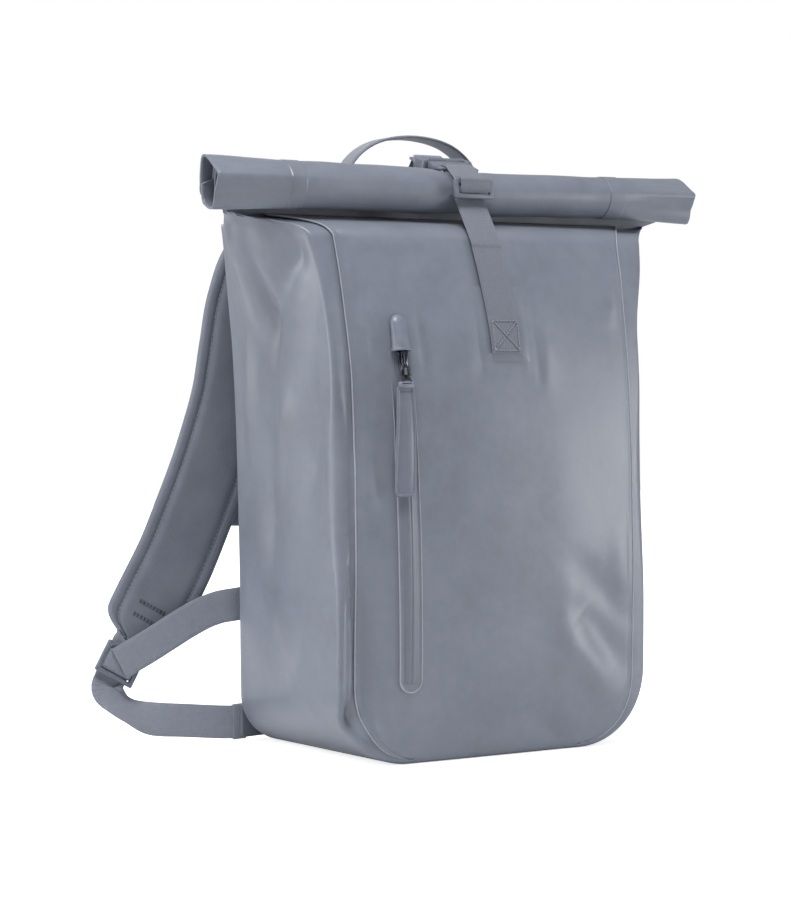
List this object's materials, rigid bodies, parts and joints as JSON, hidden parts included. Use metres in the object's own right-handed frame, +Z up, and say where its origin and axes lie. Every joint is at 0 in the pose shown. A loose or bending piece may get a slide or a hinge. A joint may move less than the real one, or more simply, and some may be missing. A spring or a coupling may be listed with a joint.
{
  "type": "rolltop backpack",
  "caption": "Soft coated-cloth backpack with a rolled top held by a front strap and side-release buckle, a vertical front zip, carry handle and padded shoulder straps",
  "frame": {"origin": "middle of the flat base, on the ground under the body", "axes": "+Z up from the base, -Y is the front with the zip and strap, +Y is the back that rests on the wearer, +X is the wearer's left"},
  "size_m": [0.503, 0.2289, 0.4747],
  "materials": {
    "coated_cloth": "smooth coated cloth with welded seams, satin",
    "pad_cloth": "padded woven cloth with bound edge, matte",
    "webbing": "flat woven strap, matte",
    "zip_tape": "coated water-shedding zip tape, satin",
    "moulded_cloth": "moulded rubbery cap, satin",
    "pull_cloth": "coated pull tab with raised rim",
    "dark_metal": "dark plated zip metal",
    "moulded_plastic": "fine-grained moulded plastic"
  },
  "bodies": {
    "root": {"anchor_tab_left": "webbing", "anchor_tab_right": "webbing", "back_panel": "coated_cloth", "buckle_body": "moulded_plastic", "buckle_insert": "moulded_plastic", "carry_handle": "webbing", "chest_clasp": "moulded_plastic", "chest_strap_left": "webbing", "chest_strap_right": "webbing", "front_panel": "coated_cloth", "front_strap": "webbing", "ladder_lock_left": "moulded_plastic", "ladder_lock_right": "moulded_plastic", "lower_strap_left": "webbing", "lower_strap_right": "webbing", "pad_loop_left": "webbing", "pad_loop_right": "webbing", "pull_tab": "pull_cloth", "rear_strap": "webbing", "rolled_top": "coated_cloth", "shoulder_pad_left": "pad_cloth", "shoulder_pad_right": "pad_cloth", "side_gusset": "coated_cloth", "strap_patch": "coated_cloth", "strap_tail_left": "webbing", "strap_tail_right": "webbing", "tri_glide": "moulded_plastic", "zip_hood": "moulded_cloth", "zip_puller": "dark_metal", "zip_slider": "dark_metal", "zip_surround": "coated_cloth", "zip_tape": "zip_tape"}
  },
  "joints": []
}
